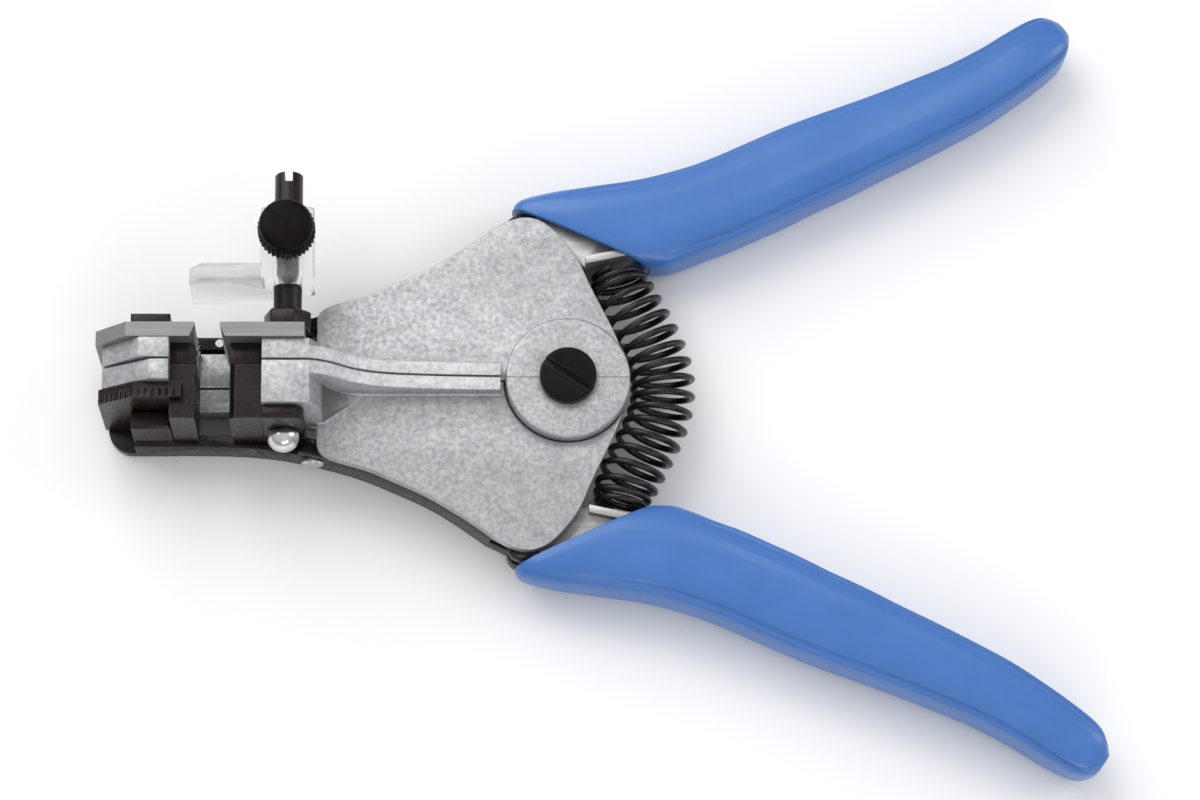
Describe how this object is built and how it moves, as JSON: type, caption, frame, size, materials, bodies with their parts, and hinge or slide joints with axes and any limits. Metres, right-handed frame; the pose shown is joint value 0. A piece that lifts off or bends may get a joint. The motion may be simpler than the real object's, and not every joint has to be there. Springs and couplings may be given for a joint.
{
  "type": "wire stripper",
  "caption": "Automatic wire stripper with twin die-cast jaws on a hub screw, sliding black steel jaws, notched cutter blades, clear length stop, coil return spring and blue dipped handles.",
  "frame": {"origin": "on the hub screw's axis, at the flat back on which the tool lies", "axes": "+X from the jaws to the handles, +Y from the gripping half to the cutting half, +Z out of the face with the hub screw"},
  "size_m": [0.1776, 0.1428, 0.0324],
  "materials": {
    "cast_alloy": "tumbled die-cast, fine speckle, matt",
    "black_steel": "black oxide, semi-gloss, worn edges",
    "blade_steel": "ground grey tool steel",
    "handle_steel": "bare pressed steel",
    "grip_vinyl": "blue dipped vinyl, satin gloss",
    "clear_plastic": "clear moulded plastic",
    "bright_steel": "polished",
    "spring_steel": "black oiled spring wire",
    "knob_black": "black, knurled rim and smooth cap"
  },
  "bodies": {
    "upper_half": {"upper_body": "cast_alloy", "pivot_barrel": "black_steel", "pivot_screw": "black_steel", "upper_right_insert": "black_steel", "cutter_blade_fixed": "blade_steel", "stop_post": "black_steel", "post_nut": "black_steel", "post_washer": "black_steel", "return_spring": "spring_steel", "closing_spring": "spring_steel"},
    "lower_half": {"lower_body": "cast_alloy", "lower_right_insert": "black_steel", "gripper_clamp_block": "black_steel", "gripper_clamp_screw": "bright_steel"},
    "upper_handle_set": {"upper_handle": "handle_steel", "upper_grip": "grip_vinyl", "upper_link_pin": "black_steel"},
    "lower_handle_set": {"lower_handle": "handle_steel", "lower_grip": "grip_vinyl", "lower_link_pin": "black_steel"},
    "cutter_jaw": {"upper_nose_jaw": "cast_alloy", "upper_left_insert": "black_steel", "cutter_blade_moving": "blade_steel", "upper_pull_bar": "black_steel", "upper_bar_rivet": "bright_steel", "upper_bar_pin_left": "bright_steel", "upper_bar_pin_right": "bright_steel", "upper_foot_screw": "black_steel"},
    "gripper_jaw": {"lower_nose_jaw": "cast_alloy", "lower_left_insert": "black_steel", "gripper_plate": "black_steel", "lower_pull_bar": "black_steel", "lower_bar_rivet": "bright_steel", "lower_foot_screw": "black_steel"},
    "length_stop": {"wire_stop": "clear_plastic"},
    "stop_thumb_screw": {"thumb_screw": "knob_black", "thumb_screw_cap": "knob_black"}
  },
  "joints": [
    {"name": "upper_handle_pivot", "type": "hinge", "parent": "upper_half", "child": "upper_handle_set", "pos_m": [0, 0, 0.0032], "axis": [0, 0, -1], "range_deg": [0, 7.9], "stiffness_Nm_per_rad": 6, "springref_deg": -8.59, "deforming": ["return_spring"]},
    {"name": "lower_handle_pivot", "type": "hinge", "parent": "lower_half", "child": "lower_handle_set", "pos_m": [0, 0, 0.0054], "axis": [0, 0, 1], "range_deg": [0, 7.9], "stiffness_Nm_per_rad": 6, "springref_deg": -8.59, "deforming": ["return_spring"]},
    {"name": "spread_pivot", "type": "hinge", "parent": "upper_half", "child": "lower_half", "pos_m": [0, 0, 0.0077], "axis": [0, 0, 1], "range_deg": [0, 16], "stiffness_Nm_per_rad": 10, "springref_deg": -6.88, "deforming": ["return_spring", "closing_spring"]},
    {"name": "cutter_jaw_slide", "type": "slide", "parent": "upper_half", "child": "cutter_jaw", "axis": [1, 0, 0], "range_m": [0, 0.00407]},
    {"name": "gripper_jaw_slide", "type": "slide", "parent": "lower_half", "child": "gripper_jaw", "axis": [1, 0, 0], "range_m": [0, 0.00407]},
    {"name": "stop_slide", "type": "slide", "parent": "upper_half", "child": "length_stop", "axis": [0, 1, 0], "range_m": [-0.004, 0.008]},
    {"name": "thumb_screw_turn", "type": "hinge", "parent": "length_stop", "child": "stop_thumb_screw", "pos_m": [-0.0496, 0.0226, 0.028], "axis": [0, 0, 1], "range_deg": [-180, 180]}
  ],
  "couplings": [
    {"joint": "cutter_jaw_slide", "follows": "upper_handle_pivot", "m_per_rad": 0.02951},
    {"joint": "gripper_jaw_slide", "follows": "lower_handle_pivot", "m_per_rad": 0.02951}
  ]
}
